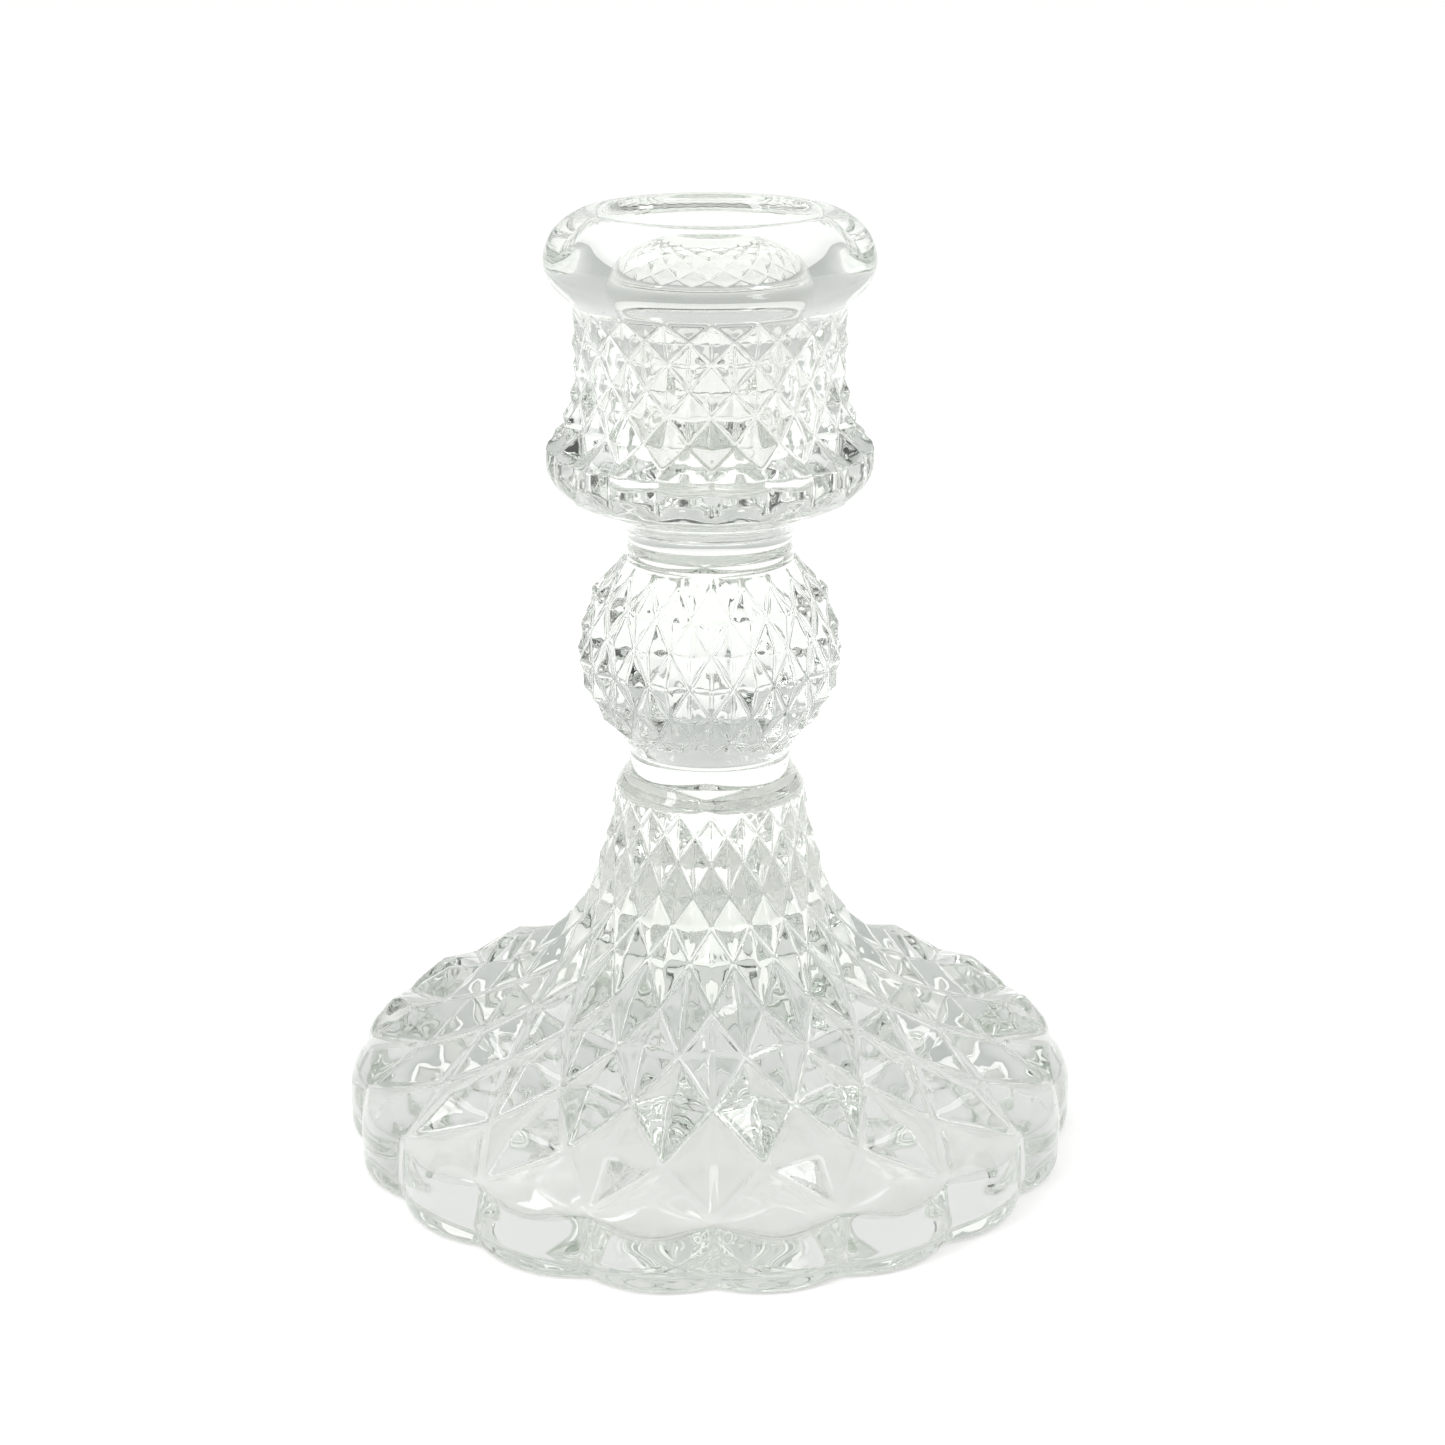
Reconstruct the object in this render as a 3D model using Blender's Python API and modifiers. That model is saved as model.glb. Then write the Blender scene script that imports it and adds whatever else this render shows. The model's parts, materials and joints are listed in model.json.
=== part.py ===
# Pressed-glass candlestick for a 22 mm dinner candle.
# Metres, +Z up, foot resting on z = 0, axis on the Z axis.
# The glass is one pressing; each section of it between two necks is its own object,
# with a hairline seam left between neighbours.
import math

import bmesh
import bpy

mm = 0.001

# overall sizes
overallHeight = 106.0 * mm
footRadius = 42.5 * mm
candleDiameter = 22.0 * mm

# the diamond pattern
columns = 19
footSteps = 2
stemSteps = 1
turnedSteps = 48

# clearances
seam = 0.3 * mm

# heights of the sections above the foot; the foot takes up the rest
lowerCollarHeight = 5.0 * mm
ballHeight = 21.9 * mm
upperCollarHeight = 3.5 * mm
cupHeight = 24.7 * mm
rimHeight = 9.7 * mm

# foot
scallopDepth = 1.5 * mm
footEdgeRound = 1.0 * mm
restRingWidth = 3.5 * mm
hollowDepth = 7.2 * mm
hollowSteps = 16
hollowCurve = 3.0

# stem
stemRadius = 9.1 * mm
shoulderStep = 1.7 * mm
ballRadius = 15.0 * mm

# candle cup
neckWall = 4.0 * mm
bellySwell = 2.95 * mm
cupFloor = 5.9 * mm
socketTaper = 0.9 * mm
lipWidth = 6.85 * mm
funnelWidth = 2.2 * mm
panelDepth = 0.8 * mm

# what follows from them
upperCollarTop = overallHeight - rimHeight - cupHeight
cupTop = overallHeight - rimHeight
ballTop = upperCollarTop - upperCollarHeight
lowerCollarTop = ballTop - ballHeight
footTop = lowerCollarTop - lowerCollarHeight
shoulderRadius = stemRadius + shoulderStep
socketRadius = candleDiameter / 2
socketFloor = upperCollarTop + cupFloor
neckRadius = socketRadius + neckWall
bellyRadius = neckRadius + bellySwell
rimRadius = socketRadius + lipWidth
rimCrestRadius = socketRadius + funnelWidth

# foot pattern rows from the scalloped edge up to the stem:
# height as a part of the foot, groove radius and point radius from 0 at the shoulder
# to 1 at the foot's edge, how far the points stand above the grooves as a part of the foot
footRows = (
    (0.1917, 0.937, 0.920, 0.032),
    (0.2500, 0.719, 0.762, 0.030),
    (0.3374, 0.517, 0.543, 0.032),
    (0.4248, 0.359, 0.386, 0.027),
    (0.5049, 0.224, 0.257, 0.022),
    (0.6117, 0.129, 0.161, 0.007),
    (0.7015, 0.076, 0.100, 0.002),
    (0.7816, 0.041, 0.066, 0.002),
    (0.8641, 0.016, 0.038, 0.000),
    (0.9369, 0.000, 0.017, 0.000),
)

# ball pattern rows from its foot up: height as a part of the ball,
# groove and point radius from 0 at the stem to 1 at the ball's radius
ballRows = (
    (0.0900, 0.237, 0.237),
    (0.1660, 0.403, 0.556),
    (0.3220, 0.720, 0.886),
    (0.4920, 0.861, 1.020),
    (0.6660, 0.734, 0.912),
    (0.8270, 0.542, 0.708),
    (0.9680, 0.200, 0.200),
)

# neck pattern rows from the belly up to the rim: height as a part of the cup,
# groove and point radius in parts of neckRadius
neckRows = (
    (0.3940, 1.100, 1.180),
    (0.4880, 1.010, 1.085),
    (0.6080, 0.962, 1.012),
    (0.7150, 0.950, 0.998),
    (0.8300, 0.950, 0.998),
    (0.9250, 0.962, 1.000),
)


def makeCollection(name):
    collection = bpy.data.collections.new(name)
    bpy.context.scene.collection.children.link(collection)
    return collection


def makeGlass(name, tint):
    glass = bpy.data.materials.new(name)
    glass.use_nodes = True
    shader = glass.node_tree.nodes["Principled BSDF"]
    shader.inputs["Base Color"].default_value = (*tint, 1.0)
    shader.inputs["Roughness"].default_value = 0.03
    shader.inputs["IOR"].default_value = 1.51
    shader.inputs["Transmission Weight"].default_value = 1.0
    return glass


def blend(a, b, t):
    return a + (b - a) * t


def onCurve(points, t):
    """Point at t along an evenly spaced run of (radius, height) points."""
    t = min(max(t, 0.0), len(points) - 1.0)
    i = min(int(t), len(points) - 2)
    k = t - i
    return (blend(points[i][0], points[i + 1][0], k), blend(points[i][1], points[i + 1][1], k))


def pointHeight(u, v):
    """0 in a groove and 1 on a diamond's point; u and v count half columns and rows."""
    p = (u + v) / 2
    q = (u - v) / 2
    return 2 * min(abs(p - round(p)), abs(q - round(q)))


def ring(steps, radiusAt, heightAt):
    """Points round the axis, steps to each half column."""
    points = []
    for i in range(2 * columns * steps):
        u = i / steps
        angle = math.pi * u / columns
        r = radiusAt(u)
        points.append((r * math.sin(angle), -r * math.cos(angle), heightAt(u)))
    return points


def plainRing(steps, r, z):
    return ring(steps, lambda u: r, lambda u: z)


def patternRings(steps, grooves, points):
    """Rings over a run of rows, from the groove line and the line of the diamonds' points."""
    rings = []
    for i in range((len(grooves) - 1) * steps + 1):
        v = i / steps
        low = onCurve(grooves, v)
        high = onCurve(points, v)
        rings.append(ring(
            steps,
            lambda u: blend(low[0], high[0], pointHeight(u, v)),
            lambda u: blend(low[1], high[1], pointHeight(u, v))))
    return rings


def ringSolid(name, steps, rings, patternStart, patternRows, collection, glass):
    """Closed body through the rings from bottom to top, with flat ends.

    The quads of the pattern are split along the grooves, so every diamond
    keeps four flat faces."""
    mesh = bmesh.new()
    rows = [[mesh.verts.new(p) for p in points] for points in rings]
    count = len(rows[0])
    for j in range(len(rows) - 1):
        row = (j - patternStart) // steps
        for i in range(count):
            a = rows[j][i]
            b = rows[j][(i + 1) % count]
            c = rows[j + 1][(i + 1) % count]
            d = rows[j + 1][i]
            if row < 0 or row >= patternRows:
                mesh.faces.new((a, b, c, d))
            elif (i // steps + row) % 2 == 0:
                mesh.faces.new((a, b, c))
                mesh.faces.new((a, c, d))
            else:
                mesh.faces.new((a, b, d))
                mesh.faces.new((b, c, d))
    mesh.faces.new(list(reversed(rows[0])))
    mesh.faces.new(rows[-1])
    bmesh.ops.recalc_face_normals(mesh, faces=mesh.faces)
    data = bpy.data.meshes.new(name)
    mesh.to_mesh(data)
    mesh.free()
    return finish(name, data, collection, glass)


def finish(name, data, collection, glass):
    body = bpy.data.objects.new(name, data)
    collection.objects.link(body)
    if glass is not None:
        data.materials.append(glass)
    data.shade_smooth()
    data.set_sharp_from_angle(angle=math.radians(18))
    return body


def turned(name, profile, closed, collection, glass):
    """Screw a profile of (radius, height) points, outer side top to bottom, round the axis."""
    data = bpy.data.meshes.new(name)
    count = len(profile)
    edges = [(i, i + 1) for i in range(count - 1)]
    if closed:
        edges.append((count - 1, 0))
    data.from_pydata([(r, 0.0, z) for r, z in profile], edges, [])
    body = finish(name, data, collection, glass)
    screw = body.modifiers.new("turn", "SCREW")
    screw.axis = "Z"
    screw.steps = turnedSteps
    screw.render_steps = turnedSteps
    screw.use_merge_vertices = True
    screw.merge_threshold = 0.00001
    screw.use_smooth_shade = True
    return body


def cut(body, cutter):
    """Take the cutter's shape out of the body."""
    boolean = body.modifiers.new("cut", "BOOLEAN")
    boolean.operation = "DIFFERENCE"
    boolean.solver = "EXACT"
    boolean.object = cutter
    cutter.hide_render = True
    cutter.display_type = "WIRE"


def notchShare(u):
    """1 where two scallops meet and 0 on the crown of a scallop."""
    across = u % 2
    return abs(1 - across) ** 2


for item in list(bpy.data.objects):
    bpy.data.objects.remove(item, do_unlink=True)

parts = makeCollection("candlestick")
cutters = makeCollection("cutters")

clear = (0.93, 0.96, 0.945)
footGlass = makeGlass("foot_glass", clear)
lowerCollarGlass = makeGlass("lower_collar_glass", clear)
ballGlass = makeGlass("ball_glass", clear)
upperCollarGlass = makeGlass("upper_collar_glass", clear)
cupGlass = makeGlass("cup_glass", clear)
rimGlass = makeGlass("rim_glass", clear)

# foot: scalloped edge, diamonds running up the cone, hollow underneath
bandTop = footRows[0][0] * footTop


def bandRing(inset, z, dip):
    # the scallops dip where they meet and stand proud on their crowns
    return ring(
        footSteps,
        lambda u: footRadius - inset - scallopDepth * notchShare(u),
        lambda u: z - dip * notchShare(u))


footRings = [
    bandRing(footEdgeRound, 0.0, 0.0),
    bandRing(0.3 * footEdgeRound, 0.3 * footEdgeRound, 0.0),
    bandRing(0.0, footEdgeRound, 0.0),
    bandRing(0.0, 0.55 * bandTop, 0.0),
    bandRing(0.15 * mm, 0.90 * bandTop, 0.3 * mm),
]
patternStart = len(footRings)
footGrooves = [
    (blend(shoulderRadius, footRadius, r), h * footTop) for h, r, p, rise in footRows]
footPoints = [
    (blend(shoulderRadius, footRadius, p), (h + rise) * footTop) for h, r, p, rise in footRows]
shoulderStart = (shoulderRadius, footTop - seam / 2)
footGrooves.append(shoulderStart)
footPoints.append(shoulderStart)
footRings += patternRings(footSteps, footGrooves, footPoints)
foot = ringSolid("foot", footSteps, footRings, patternStart, len(footGrooves) - 1, parts, footGlass)

# the hollow underneath is a shallow dish with a steep edge
hollowRadius = footRadius - scallopDepth - footEdgeRound - restRingWidth
hollowProfile = [(0.0, hollowDepth)]
for i in range(1, hollowSteps + 1):
    t = i / hollowSteps
    hollowProfile.append((hollowRadius * t, hollowDepth * (1 - t ** hollowCurve)))
hollowProfile.append((hollowRadius, -2.0 * mm))
hollowProfile.append((0.0, -2.0 * mm))
hollow = turned("foot_hollow", hollowProfile, False, cutters, None)
cut(foot, hollow)

# lower collar: plain rounded shoulder under the ball, closing to the stem
bottom = footTop + seam / 2
top = lowerCollarTop - seam / 2
span = top - bottom
turned("lower_collar", [
    (0.0, top),
    (stemRadius + 0.15 * mm, top),
    (stemRadius, top - 0.12 * span),
    (stemRadius, top - 0.36 * span),
    (blend(stemRadius, shoulderRadius, 0.22), top - 0.50 * span),
    (blend(stemRadius, shoulderRadius, 0.58), top - 0.66 * span),
    (blend(stemRadius, shoulderRadius, 0.85), top - 0.83 * span),
    (shoulderRadius, bottom),
    (0.0, bottom),
], False, parts, lowerCollarGlass)

# ball of diamonds between plain ends
bottom = lowerCollarTop + seam / 2
top = ballTop - seam / 2
span = top - bottom
ballGrooves = [(blend(stemRadius, ballRadius, r), bottom + h * span) for h, r, p in ballRows]
ballPoints = [(blend(stemRadius, ballRadius, p), bottom + h * span) for h, r, p in ballRows]
ballRings = [plainRing(stemSteps, stemRadius + 0.15 * mm, bottom)]
ballRings += patternRings(stemSteps, ballGrooves, ballPoints)
ballRings.append(plainRing(stemSteps, stemRadius + 0.25 * mm, top))
ringSolid("ball_knop", stemSteps, ballRings, 1, len(ballRows) - 1, parts, ballGlass)

# upper collar: plain waisted neck between ball and cup
bottom = ballTop + seam / 2
top = upperCollarTop - seam / 2
span = top - bottom
turned("upper_collar", [
    (0.0, top),
    (stemRadius + 0.5 * mm, top),
    (stemRadius + 0.15 * mm, top - 0.25 * span),
    (stemRadius, top - 0.5 * span),
    (stemRadius + 0.05 * mm, top - 0.75 * span),
    (stemRadius + 0.2 * mm, bottom),
    (0.0, bottom),
], False, parts, upperCollarGlass)

# candle cup: plain bowl below, arched panels round the belly, diamonds on the neck
bottom = upperCollarTop + seam / 2
top = cupTop - seam / 2
span = top - bottom
bowlFoot = stemRadius + 0.4 * mm
bowl = (
    (0.000, 0.000),
    (0.039, 0.018),
    (0.149, 0.050),
    (0.341, 0.088),
    (0.585, 0.122),
    (0.783, 0.156),
    (0.872, 0.192),
)
cupRings = [
    plainRing(stemSteps, blend(bowlFoot, bellyRadius, r), bottom + h * span) for r, h in bowl]
for r, h, share in ((0.972, 0.226, 0.4), (0.995, 0.265, 0.8), (1.0, 0.320, 1.0), (0.998, 0.370, 1.1)):
    cupRings.append(ring(
        stemSteps,
        lambda u: r * bellyRadius - share * panelDepth * notchShare(u),
        lambda u: bottom + h * span))
patternStart = len(cupRings)
neckGrooves = [(r * neckRadius, bottom + h * span) for h, r, p in neckRows]
neckPoints = [(p * neckRadius, bottom + h * span) for h, r, p in neckRows]
neckEnd = (neckRadius, top)
neckGrooves.append(neckEnd)
neckPoints.append(neckEnd)
cupRings += patternRings(stemSteps, neckGrooves, neckPoints)
cup = ringSolid("candle_cup", stemSteps, cupRings, patternStart, len(neckGrooves) - 1, parts, cupGlass)

# socket for the candle, slightly tapered towards its floor
socket = turned("candle_socket", [
    (0.0, cupTop + 2.0 * mm),
    (socketRadius, cupTop + 2.0 * mm),
    (socketRadius, top),
    (socketRadius - 0.8 * socketTaper, blend(socketFloor, top, 0.12)),
    (socketRadius - 1.3 * socketTaper, blend(socketFloor, top, 0.04)),
    (socketRadius - 2.6 * socketTaper, socketFloor),
    (0.0, socketFloor),
], False, cutters, None)
cut(cup, socket)

# rim: fat rounded lip, funnelling in to the socket
bottom = cupTop + seam / 2
span = overallHeight - bottom
lip = (
    (0.00, 1.000),
    (0.24, 0.960),
    (0.49, 0.890),
    (0.71, 0.800),
    (0.87, 0.690),
    (0.97, 0.570),
    (1.00, 0.450),
    (0.97, 0.340),
    (0.88, 0.235),
    (0.73, 0.140),
    (0.56, 0.060),
    (0.41, 0.000),
)
funnel = (
    (0.00, 0.000),
    (0.00, 0.400),
    (0.05, 0.600),
    (0.18, 0.790),
    (0.39, 0.910),
    (0.66, 0.980),
)
lipProfile = [(blend(rimCrestRadius, rimRadius, r), bottom + h * span) for r, h in lip]
lipProfile += [(blend(socketRadius, rimCrestRadius, r), bottom + h * span) for r, h in funnel]
turned("rim", lipProfile, True, parts, rimGlass)
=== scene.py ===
import json
import math

import bpy
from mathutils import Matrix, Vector


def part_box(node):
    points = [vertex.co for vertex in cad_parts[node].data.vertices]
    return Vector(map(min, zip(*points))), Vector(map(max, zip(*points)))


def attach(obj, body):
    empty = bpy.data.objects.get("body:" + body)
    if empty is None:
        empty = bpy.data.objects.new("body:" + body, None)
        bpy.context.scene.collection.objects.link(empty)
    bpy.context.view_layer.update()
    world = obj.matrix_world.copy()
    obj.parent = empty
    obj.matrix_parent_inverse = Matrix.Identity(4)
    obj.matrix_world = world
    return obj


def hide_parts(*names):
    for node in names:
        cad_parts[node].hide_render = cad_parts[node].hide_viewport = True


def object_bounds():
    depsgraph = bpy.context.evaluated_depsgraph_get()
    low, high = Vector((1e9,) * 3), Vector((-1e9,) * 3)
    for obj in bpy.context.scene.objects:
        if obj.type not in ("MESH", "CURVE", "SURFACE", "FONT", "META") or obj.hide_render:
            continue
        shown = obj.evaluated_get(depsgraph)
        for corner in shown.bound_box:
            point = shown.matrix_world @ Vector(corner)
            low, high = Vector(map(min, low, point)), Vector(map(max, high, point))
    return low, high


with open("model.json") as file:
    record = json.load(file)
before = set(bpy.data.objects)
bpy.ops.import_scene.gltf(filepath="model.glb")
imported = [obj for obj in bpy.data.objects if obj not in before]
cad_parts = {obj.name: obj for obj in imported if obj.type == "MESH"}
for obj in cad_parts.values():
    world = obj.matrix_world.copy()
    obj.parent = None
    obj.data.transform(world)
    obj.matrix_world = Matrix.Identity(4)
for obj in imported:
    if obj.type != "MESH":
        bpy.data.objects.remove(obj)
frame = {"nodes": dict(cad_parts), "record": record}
cadLow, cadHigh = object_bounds()
print("frame loaded:", ", ".join(sorted(frame["nodes"])))

mm = 0.001


def hexColour(text):
    # sRGB hex to the linear values the shaders want
    values = []
    for i in (0, 2, 4):
        v = int(text[i:i + 2], 16) / 255
        values.append(v / 12.92 if v <= 0.04045 else ((v + 0.055) / 1.055) ** 2.4)
    return (*values, 1.0)


def addNode(tree, kind, settings=None, links=None):
    # one node, its settings, and the sockets that feed it
    node = tree.nodes.new(kind)
    for name, value in (settings or {}).items():
        if name in node.inputs:
            node.inputs[name].default_value = value
        else:
            setattr(node, name, value)
    for name, source in (links or {}).items():
        tree.links.new(source, node.inputs[name])
    return node


def mix(a, b, t):
    return a + (b - a) * t


def smoothCurve(points, t):
    # point at t (0 to 1) on a smooth line through evenly numbered points
    t = min(max(t, 0.0), 1.0) * (len(points) - 1)
    i = min(int(t), len(points) - 2)
    k = t - i
    p0 = points[max(i - 1, 0)]
    p1 = points[i]
    p2 = points[i + 1]
    p3 = points[min(i + 2, len(points) - 1)]
    return tuple(
        0.5 * (2 * b + (c - a) * k + (2 * a - 5 * b + 4 * c - d) * k * k
               + (3 * b - a - 3 * c + d) * k ** 3)
        for a, b, c, d in zip(p0, p1, p2, p3))


def sampled(points, count, first=0):
    # points at even steps along a smooth line
    return [smoothCurve(points, n / count) for n in range(first, count + 1)]


def heightsOf(node):
    # bottom and top of a piece of the solid model
    low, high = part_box(node)
    return low.z, high.z


footLow, footHigh = heightsOf("foot")
ballLow, ballHigh = heightsOf("ball_knop")
cupLow, cupHigh = heightsOf("candle_cup")
rimLow, rimHigh = heightsOf("rim")
footLeft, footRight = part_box("foot")
footRadius = (footRight.x - footLeft.x) / 2

candleSeat = next(m for m in frame["record"]["mounts"] if m["name"] == "candle_seat")
socketFloor = candleSeat["pos_m"][2]

# the pressed pattern
pattern = {
    "columns": 19,          # diamonds round the glass
    "steps": 8,             # mesh steps across half a diamond
    "grooveDepth": 0.085,   # how deep the narrow grooves are, as a share of half a diamond's width
    "softening": 2,         # passes of fire polish over the edges
    "softenBy": 0.5,        # how far each pass moves a point
}
columns = pattern["columns"]
steps = pattern["steps"]
around = 2 * columns * steps


def place(u, r, z):
    # u counts half columns from the front
    angle = math.pi * u / columns
    return (r * math.sin(angle), -r * math.cos(angle), z)


def plainRing(r, z):
    return [place(i / steps, r, z) for i in range(around)]


def shapedRing(at):
    # at(u) gives radius and height
    return [place(i / steps, *at(i / steps)) for i in range(around)]


def notch(u):
    # 1 where two scallops meet, 0 on the crown of a scallop
    return abs(1 - u % 2)


def weighted(parts):
    return tuple(sum(w * p[k] for w, p in parts) for k in range(3))


def sunk(point, rise, run):
    # a point on a groove line, pressed in square to the slope that rise and run give
    x, y, z = point
    r = math.hypot(x, y)
    slope = math.hypot(rise, run)
    depth = pattern["grooveDepth"] * math.pi * r / columns
    keep = 1 - depth * rise / slope / r
    return (x * keep, y * keep, z + depth * run / slope)


def diamondRings(rows):
    # rows holds (groove radius, groove height, point radius, point height) for each half row;
    # every diamond is a low pyramid of four flat faces between the slanting grooves
    nodes = []
    for j, (grooveR, grooveZ, pointR, pointZ) in enumerate(rows):
        line = []
        for i in range(2 * columns):
            if (i + j) % 2 == 0:
                line.append(place(i, grooveR, grooveZ))
            else:
                line.append(place(i, pointR, pointZ))
        nodes.append(line)
    rings = []
    for j in range(len(rows) - 1):
        last = j == len(rows) - 2
        rise = rows[j + 1][1] - rows[j][1]
        run = rows[j + 1][0] - rows[j][0]
        for n in range(steps + (1 if last else 0)):
            t = n / steps
            ring = []
            for m in range(around):
                i = m // steps
                s = (m % steps) / steps
                a = nodes[j][i]
                b = nodes[j][(i + 1) % (2 * columns)]
                c = nodes[j + 1][(i + 1) % (2 * columns)]
                d = nodes[j + 1][i]
                if (i + j) % 2 == 0:
                    inGroove = s == t
                    if s >= t:
                        point = weighted(((1 - s, a), (s - t, b), (t, c)))
                    else:
                        point = weighted(((1 - t, a), (s, c), (t - s, d)))
                else:
                    inGroove = s + t == 1
                    if s + t <= 1:
                        point = weighted(((1 - s - t, a), (s, b), (t, d)))
                    else:
                        point = weighted(((s + t - 1, c), (1 - t, b), (1 - s, d)))
                ring.append(sunk(point, rise, run) if inGroove else point)
            rings.append(ring)
    return rings


surface = []    # every ring of the glass, from the top of the hollow round to the socket's floor
slants = []     # for each ring, the row of diamonds it lies in, or None


def addRings(rings, firstRow=None):
    for n, ring in enumerate(rings):
        surface.append(ring)
        slants.append(None if firstRow is None else firstRow + n // steps)


# the hollow pressed into the underside
hollow = {
    "depth": 7.2 * mm,
    "mouth": 36.5 * mm,     # radius where it meets the resting ring
    "curve": 3.0,           # 2 is a round dome, more is a flatter dish with a steeper edge
    "steps": 44,
}
crownZ = footLow + hollow["depth"]
for n in range(1, hollow["steps"] + 1):
    share = n / hollow["steps"]
    addRings([plainRing(
        hollow["mouth"] * share, mix(crownZ, footLow, share ** hollow["curve"]))])

# the foot: a scalloped edge, then rows of diamonds climbing to the waist
foot = {
    "scallop": 1.5 * mm,        # how deep the notches round the edge are
    # how far in from the edge and how high, in mm, on the crown of a scallop and in a notch
    "edge": (
        (1.10, 0.00), (0.30, 0.25), (0.02, 1.00), (0.00, 2.60), (0.00, 4.40),
        (0.10, 5.90), (0.50, 7.10), (1.30, 8.15)),
    "edgeAtNotch": (
        (1.10, 0.00), (0.30, 0.25), (0.02, 1.00), (0.00, 2.60), (0.00, 4.40),
        (0.03, 5.80), (0.12, 6.90), (0.28, 7.60)),
    "insideSolid": 0.9975,      # keeps the softened scallops inside the solid model's box
    "solidRadius": 42.355 * mm, # half the solid foot's width that these sizes were drawn for
    "crownRadius": 42.5 * mm,   # out to the crown of a scallop
    "ringInset": 1.1 * mm,      # from the notches in to the flat ring it rests on
    "ringShares": (0.08, 0.3, 0.6, 0.9),    # from the hollow's mouth to that ring's outside
    "edgeSteps": 30,
    # groove radius, groove height, point radius, point height, in mm
    "rows": (
        (40.50, 7.90, 39.95, 9.55),
        (33.38, 9.88, 35.06, 11.98),
        (27.05, 13.62, 28.22, 15.58),
        (22.08, 17.35, 23.16, 18.82),
        (17.89, 20.80, 18.96, 21.71),
        (14.88, 25.20, 15.90, 25.49),
        (13.22, 28.90, 13.98, 28.98),
        (12.11, 32.20, 12.88, 32.28),
        (11.31, 35.60, 11.99, 35.60),
        (10.80, 38.60, 11.35, 38.60),
        (10.80, 41.00, 10.80, 41.00),
    ),
}
footScale = foot["insideSolid"] * footRadius / foot["solidRadius"]
edgeRadius = foot["crownRadius"] * footScale
footRows = [
    (gr * mm * footScale, footLow + gz * mm, pr * mm * footScale, footLow + pz * mm)
    for gr, gz, pr, pz in foot["rows"]]


def edgePoint(u, t):
    # from the resting ring up to the pattern's lowest line
    share = notch(u)
    line = []
    for (inset, z), (insetNotch, zNotch) in zip(foot["edge"], foot["edgeAtNotch"]):
        line.append((
            edgeRadius - foot["scallop"] * share ** 2 - mix(inset, insetNotch, share) * mm,
            footLow + mix(z, zNotch, share) * mm))
    grooveR, grooveZ, pointR, pointZ = footRows[0]
    line.append((mix(pointR, grooveR, share), mix(pointZ, grooveZ, share)))
    return smoothCurve(line, t)


ringOuter = edgeRadius - foot["scallop"] - foot["ringInset"]
addRings([
    plainRing(mix(hollow["mouth"], ringOuter, share), footLow) for share in foot["ringShares"]])
for n in range(foot["edgeSteps"]):
    addRings([shapedRing(lambda u: edgePoint(u, n / foot["edgeSteps"]))])
addRings(diamondRings(footRows), 0)
print("foot shaped")

# the plain shoulder and waist under the ball
shoulder = {
    "steps": 20,
    # radius in mm, height as a share of the way from the foot's top to the ball
    "profile": (
        (10.74, 0.05), (10.50, 0.16), (10.10, 0.28), (9.66, 0.41), (9.34, 0.54),
        (9.17, 0.67), (9.10, 0.81), (9.12, 0.93)),
}
addRings([
    plainRing(r * mm, mix(footHigh, ballLow, share))
    for r, share in sampled(shoulder["profile"], shoulder["steps"])])

# the ball
ball = {
    # radius in mm and share of the ball's height, on the smooth start below the diamonds
    "cap": ((9.25, 0.0), (9.70, 0.030), (10.15, 0.060)),
    # share of the ball's height, groove radius and point radius in mm
    "rows": (
        (0.090, 10.50, 10.50),
        (0.166, 11.55, 12.38),
        (0.322, 13.42, 14.33),
        (0.492, 14.25, 15.05),
        (0.666, 13.52, 14.48),
        (0.827, 12.38, 13.28),
        (0.968, 10.28, 10.28),
    ),
}
addRings([plainRing(r * mm, mix(ballLow, ballHigh, share)) for r, share in ball["cap"]])
addRings(diamondRings([
    (groove * mm, mix(ballLow, ballHigh, share), point * mm, mix(ballLow, ballHigh, share))
    for share, groove, point in ball["rows"]]), 0)

# the plain neck above the ball
neck = {
    "steps": 16,
    # radius in mm, height as a share of the way from the ball's top to the cup
    "profile": (
        (9.75, 0.02), (9.35, 0.14), (9.18, 0.32), (9.10, 0.52), (9.16, 0.70),
        (9.34, 0.86), (9.52, 1.0)),
}
addRings([
    plainRing(r * mm, mix(ballHigh, cupLow, share))
    for r, share in sampled(neck["profile"], neck["steps"])])

# the cup: a round-bottomed bowl with tall panels, then diamonds up to the lip
cup = {
    "steps": 40,
    # radius in mm, share of the cup's height, and how much of the panels shows there
    "bowl": (
        (9.90, 0.022, 0.0), (10.77, 0.050, 0.0), (12.39, 0.088, 0.0), (14.45, 0.122, 0.0),
        (16.10, 0.156, 0.0), (16.95, 0.190, 0.15), (17.50, 0.226, 0.55), (17.86, 0.265, 0.85),
        (17.95, 0.320, 1.0), (17.91, 0.360, 1.05)),
    "panelDepth": 0.8 * mm,
    # share of the cup's height, groove radius and point radius in mm
    "rows": (
        (0.394, 15.90, 17.70),
        (0.488, 14.75, 16.20),
        (0.608, 14.25, 15.25),
        (0.715, 14.12, 15.00),
        (0.830, 14.12, 15.00),
        (0.925, 14.43, 15.00),
        (1.000, 15.00, 15.00),
    ),
}


def bowlPoint(u, t):
    share = notch(u)
    r, h, panel = smoothCurve(cup["bowl"], t)
    return (r * mm - panel * cup["panelDepth"] * share ** 2, mix(cupLow, cupHigh, h))


for n in range(cup["steps"] + 1):
    addRings([shapedRing(lambda u: bowlPoint(u, n / cup["steps"]))])
addRings(diamondRings([
    (groove * mm, mix(cupLow, cupHigh, share), point * mm, mix(cupLow, cupHigh, share))
    for share, groove, point in cup["rows"]]), 0)
print("stem, ball and cup shaped")

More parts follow.
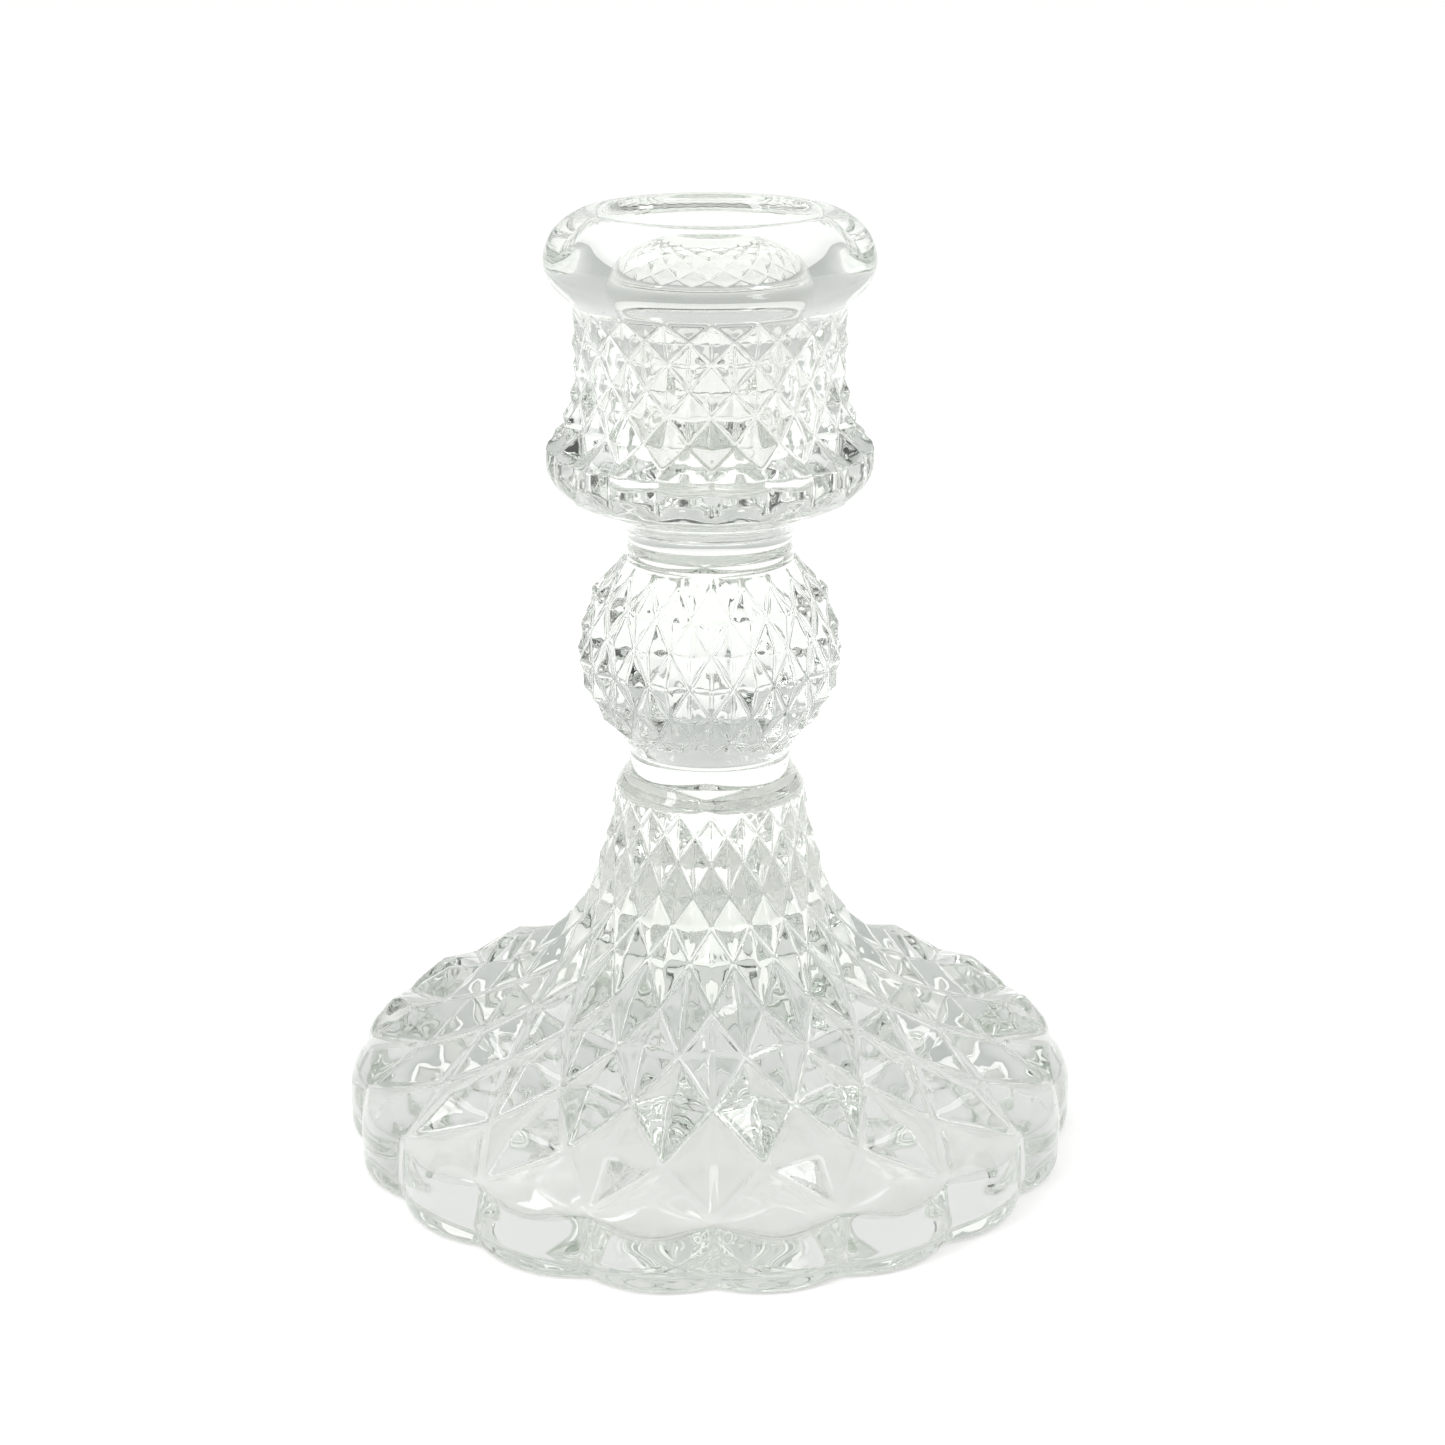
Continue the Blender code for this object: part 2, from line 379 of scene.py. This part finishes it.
# the rolled lip, the funnel inside it and the candle socket
lip = {
    "steps": 68,
    "socketSteps": 36,
    # radius in mm, height as a share of the lip's height
    "outside": (
        (15.12, 0.000), (15.75, 0.060), (16.60, 0.140), (17.30, 0.235), (17.70, 0.340),
        (17.85, 0.450), (17.70, 0.570), (17.25, 0.690), (16.50, 0.800), (15.50, 0.890),
        (14.35, 0.960), (13.20, 1.000), (12.45, 0.980), (11.85, 0.910), (11.40, 0.790),
        (11.12, 0.600), (11.00, 0.400), (11.00, 0.000)),
    # radius in mm, height as a share of the socket's depth
    "socket": (
        (11.0, 1.00), (10.8, 0.75), (10.6, 0.50), (10.4, 0.25), (10.2, 0.10), (9.6, 0.03),
        (8.6, 0.00)),
    "floorRings": (7.0, 5.0, 3.0, 1.2),     # radii in mm on the socket's floor
}
addRings([
    plainRing(r * mm, mix(rimLow, rimHigh, share))
    for r, share in sampled(lip["outside"], lip["steps"], 1)])
addRings([
    plainRing(r * mm, mix(socketFloor, rimLow, share))
    for r, share in sampled(lip["socket"], lip["socketSteps"], 1)])
addRings([plainRing(r * mm, socketFloor) for r in lip["floorRings"]])


def buildGlass(name):
    points = [(0.0, 0.0, crownZ)]
    for ring in surface:
        points.extend(ring)
    points.append((0.0, 0.0, socketFloor))
    top = len(points) - 1
    faces = []
    for i in range(around):
        faces.append((0, 1 + (i + 1) % around, 1 + i))
    # diamonds are split along their grooves, so that every face stays flat
    for j in range(len(surface) - 1):
        row = slants[j] if slants[j + 1] is not None else None
        for i in range(around):
            a = 1 + j * around + i
            b = 1 + j * around + (i + 1) % around
            c = b + around
            d = a + around
            if row is None:
                faces.append((a, b, c, d))
            elif (i // steps + row) % 2 == 0:
                faces.append((a, b, c))
                faces.append((a, c, d))
            else:
                faces.append((a, b, d))
                faces.append((b, c, d))
    last = 1 + (len(surface) - 1) * around
    for i in range(around):
        faces.append((top, last + i, last + (i + 1) % around))
    mesh = bpy.data.meshes.new(name)
    mesh.from_pydata(points, [], faces)
    mesh.validate()
    piece = bpy.data.objects.new(name, mesh)
    bpy.context.scene.collection.objects.link(piece)
    mesh.shade_smooth()
    return piece


glass = buildGlass("candlestick_glass")
print("glass mesh:", len(glass.data.vertices), "points", len(glass.data.polygons), "faces")

# fire polish: the flame after pressing rounds every edge a little
polish = glass.modifiers.new("firePolish", "SMOOTH")
polish.factor = pattern["softenBy"]
polish.iterations = pattern["softening"]

# clear soda-lime glass: no colour of its own, only what thickness and the surface hold back
sodaLime = {
    "ior": 1.517,               # soda-lime glass
    "roughness": 0.0,
    "skin": "f5f6f4",           # the surface itself holds back a little light
    "tint": "c9d6c8",           # iron in the sand leaves thick glass a faint cool green
    "tintDensity": 6.0,         # per metre
    "waveSize": 6.0,            # mm between the soft swells left by the mould
    "waveDepth": 0.010,         # mm
    "waveDetail": 1.0,
    "waveRoughness": 0.4,
}


def makeSodaLime(name):
    material = bpy.data.materials.new(name)
    material.use_nodes = True
    tree = material.node_tree
    tree.nodes.clear()
    where = addNode(tree, "ShaderNodeTexCoord")
    swell = addNode(tree, "ShaderNodeTexNoise", {
        "Scale": 1 / (sodaLime["waveSize"] * mm),
        "Detail": sodaLime["waveDetail"], "Roughness": sodaLime["waveRoughness"]},
        {"Vector": where.outputs["Object"]})
    bump = addNode(tree, "ShaderNodeBump", {
        "Strength": 1.0, "Distance": sodaLime["waveDepth"] * mm},
        {"Height": swell.outputs["Fac"]})
    shader = addNode(tree, "ShaderNodeBsdfPrincipled", {
        "Base Color": hexColour(sodaLime["skin"]),
        "Roughness": sodaLime["roughness"],
        "IOR": sodaLime["ior"],
        "Transmission Weight": 1.0},
        {"Normal": bump.outputs["Normal"]})
    absorb = addNode(tree, "ShaderNodeVolumeAbsorption", {
        "Color": hexColour(sodaLime["tint"]),
        "Density": sodaLime["tintDensity"]})
    addNode(tree, "ShaderNodeOutputMaterial", None, {
        "Surface": shader.outputs["BSDF"], "Volume": absorb.outputs["Volume"]})
    return material


glass.data.materials.append(makeSodaLime("clear_pressed_soda_lime_glass"))
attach(glass, "root")
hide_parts("foot", "lower_collar", "ball_knop", "upper_collar", "candle_cup", "rim")
print("glass material on")

# the table
table = {
    "radius": 4.0,
    "drop": 0.02 * mm,      # a hair below the glass, so that the two never touch
    "sides": 96,
    "colour": "f1f1f0",
    "shine": 0.2,
    "roughness": 0.6,
    "glow": 0.41,           # opal acrylic lit from below, so the glass stands in even light
}


def makeTable():
    bpy.ops.mesh.primitive_circle_add(
        vertices=table["sides"], radius=table["radius"], fill_type="NGON")
    floor = bpy.context.object
    floor.name = "table"
    floor.location.z = cadLow.z - table["drop"]
    material = bpy.data.materials.new("opal_acrylic")
    material.use_nodes = True
    shader = material.node_tree.nodes["Principled BSDF"]
    shader.inputs["Base Color"].default_value = hexColour(table["colour"])
    shader.inputs["Roughness"].default_value = table["roughness"]
    shader.inputs["Specular IOR Level"].default_value = table["shine"]
    shader.inputs["Emission Color"].default_value = hexColour(table["colour"])
    shader.inputs["Emission Strength"].default_value = table["glow"]
    floor.data.materials.append(material)
    return floor


floor = makeTable()

# the room
light = {
    "horizon": "d4d8d6",        # the room near the horizon
    "sky": "ffffff",            # the white ceiling
    "power": 0.88,
    "skyFrom": 0.55,            # height at which the horizon colour has become the sky's
    # black cards on the camera's side draw the thin dark lines in the glass: the direction of
    # each one, and the cosines of the angles at which it starts and is fully dark
    "flags": (
        ((0.75, -0.62, 0.12), 0.70, 0.90),
        ((-0.30, -0.95, 0.15), 0.60, 0.88)),
    "flagDepth": 0.93,          # how much of the room's light a card holds back
    # where each softbox hangs in metres, its size in metres and its power in watts
    "boxes": (
        ("window", (-0.70, -0.45, 0.85), (0.22, 0.60), 2.8),
        ("overhead", (0.0, -0.16, 1.0), (1.1, 0.22), 2.3)),
}


def makeRoom():
    world = bpy.data.worlds.new("studio")
    bpy.context.scene.world = world
    world.use_nodes = True
    tree = world.node_tree
    tree.nodes.clear()
    where = addNode(tree, "ShaderNodeTexCoord")
    split = addNode(tree, "ShaderNodeSeparateXYZ", None, {"Vector": where.outputs["Generated"]})
    ramp = addNode(tree, "ShaderNodeValToRGB", None, {"Fac": split.outputs["Z"]})
    ramp.color_ramp.elements[0].position = 0.0
    ramp.color_ramp.elements[0].color = hexColour(light["horizon"])
    ramp.color_ramp.elements[1].position = light["skyFrom"]
    ramp.color_ramp.elements[1].color = hexColour(light["sky"])
    strength = None
    for direction, outer, inner in light["flags"]:
        facing = addNode(tree, "ShaderNodeVectorMath", {"operation": "DOT_PRODUCT"}, {
            0: where.outputs["Generated"]})
        facing.inputs[1].default_value = Vector(direction).normalized()
        flag = addNode(tree, "ShaderNodeMapRange", {
            "interpolation_type": "SMOOTHSTEP", "From Min": outer, "From Max": inner,
            "To Min": 1.0, "To Max": 1 - light["flagDepth"]},
            {"Value": facing.outputs["Value"]})
        dimmed = addNode(tree, "ShaderNodeMath", {"operation": "MULTIPLY"}, {
            0: flag.outputs["Result"]})
        if strength is None:
            dimmed.inputs[1].default_value = light["power"]
        else:
            tree.links.new(strength, dimmed.inputs[1])
        strength = dimmed.outputs["Value"]
    back = addNode(tree, "ShaderNodeBackground", None, {
        "Color": ramp.outputs["Color"], "Strength": strength})
    addNode(tree, "ShaderNodeOutputWorld", None, {"Surface": back.outputs["Background"]})


def softbox(name, hung, aim, size, power):
    data = bpy.data.lights.new(name, "AREA")
    data.shape = "RECTANGLE"
    data.size, data.size_y = size
    data.energy = power
    lamp = bpy.data.objects.new(name, data)
    bpy.context.scene.collection.objects.link(lamp)
    lamp.location = hung
    lamp.rotation_euler = (Vector(aim) - Vector(hung)).to_track_quat("-Z", "Y").to_euler()


makeRoom()
centre = (cadLow + cadHigh) / 2
for name, hung, size, power in light["boxes"]:
    softbox(name, hung, centre, size, power)

# the camera
view = {
    "lens": 62.28,              # mm
    "sensor": 36.0,             # mm
    "distance": 283.2 * mm,
    "height": 48.45 * mm,       # the point on the stem it looks at
    "down": 19.29,              # degrees below the horizontal
    "turn": 0.65,               # degrees round from the front
    "shift": 0.00865,           # as a share of the picture's width
    "near": 0.01,               # metres, nearest and farthest it sees
    "far": 20.0,
}


def makeCamera():
    data = bpy.data.cameras.new("camera")
    data.lens = view["lens"]
    data.sensor_width = view["sensor"]
    data.shift_x = view["shift"]
    data.clip_start = view["near"]
    data.clip_end = view["far"]
    camera = bpy.data.objects.new("camera", data)
    bpy.context.scene.collection.objects.link(camera)
    down = math.radians(view["down"])
    turn = math.radians(view["turn"])
    target = Vector((0, 0, cadLow.z + view["height"]))
    level = math.cos(down)
    back = Vector((-math.sin(turn) * level, -math.cos(turn) * level, math.sin(down)))
    camera.location = target + back * view["distance"]
    camera.rotation_euler = (-back).to_track_quat("-Z", "Y").to_euler()
    bpy.context.scene.camera = camera


makeCamera()
scene = bpy.context.scene
scene.view_settings.view_transform = "Standard"
# light bounces many times inside cut glass before it gets out
bounces = 32
scene.cycles.max_bounces = bounces
scene.cycles.glossy_bounces = bounces
scene.cycles.transmission_bounces = bounces
print("camera and light set")
